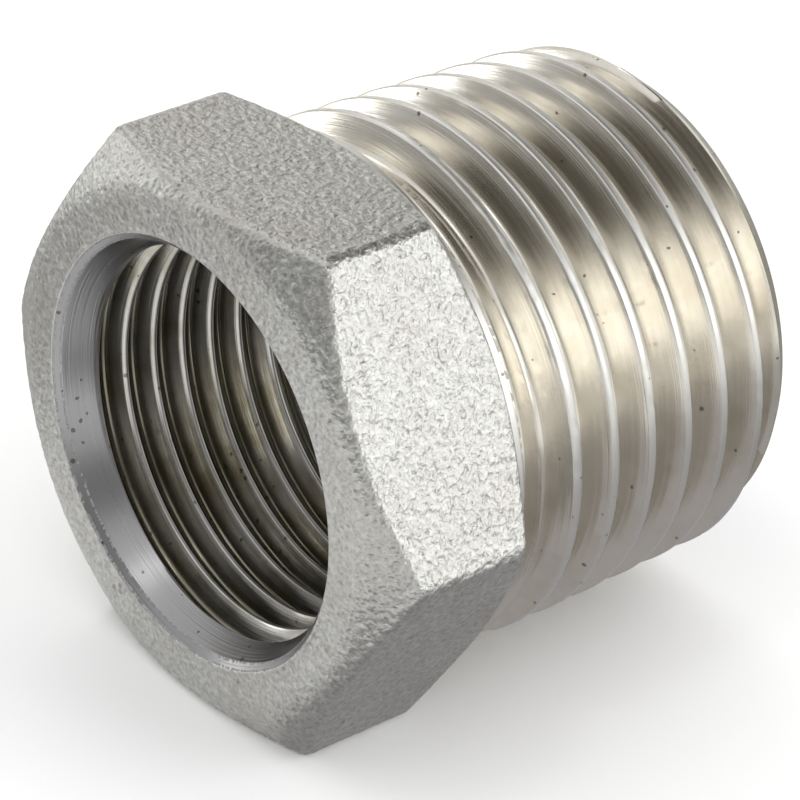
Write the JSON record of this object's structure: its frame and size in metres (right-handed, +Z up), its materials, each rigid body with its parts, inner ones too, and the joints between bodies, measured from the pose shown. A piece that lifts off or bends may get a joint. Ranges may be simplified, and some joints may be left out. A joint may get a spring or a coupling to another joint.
{
  "type": "hex bushing",
  "caption": "Reducing hex bushing in stainless steel: a hexagon collar, a tapered outside pipe thread, and a smaller inside pipe thread that opens in the hexagon's face.",
  "frame": {"origin": "on the axis of both threads, halfway along the fitting, which is the middle of its bounding box", "axes": "+Y along the threads' axis, from the hexagon's open face to the small end of the outside thread; +Z up, square to the uppermost flat, as the fitting lies on the flat opposite; +X through two corners of the hexagon. On a table the fitting tips about one degree further, until the outside thread touches too."},
  "size_m": [0.024, 0.021, 0.021],
  "materials": {
    "cast_stainless": "cast skin on the hexagon, bright turned threads"
  },
  "bodies": {
    "root": {"hex_bushing": "cast_stainless"}
  },
  "joints": []
}
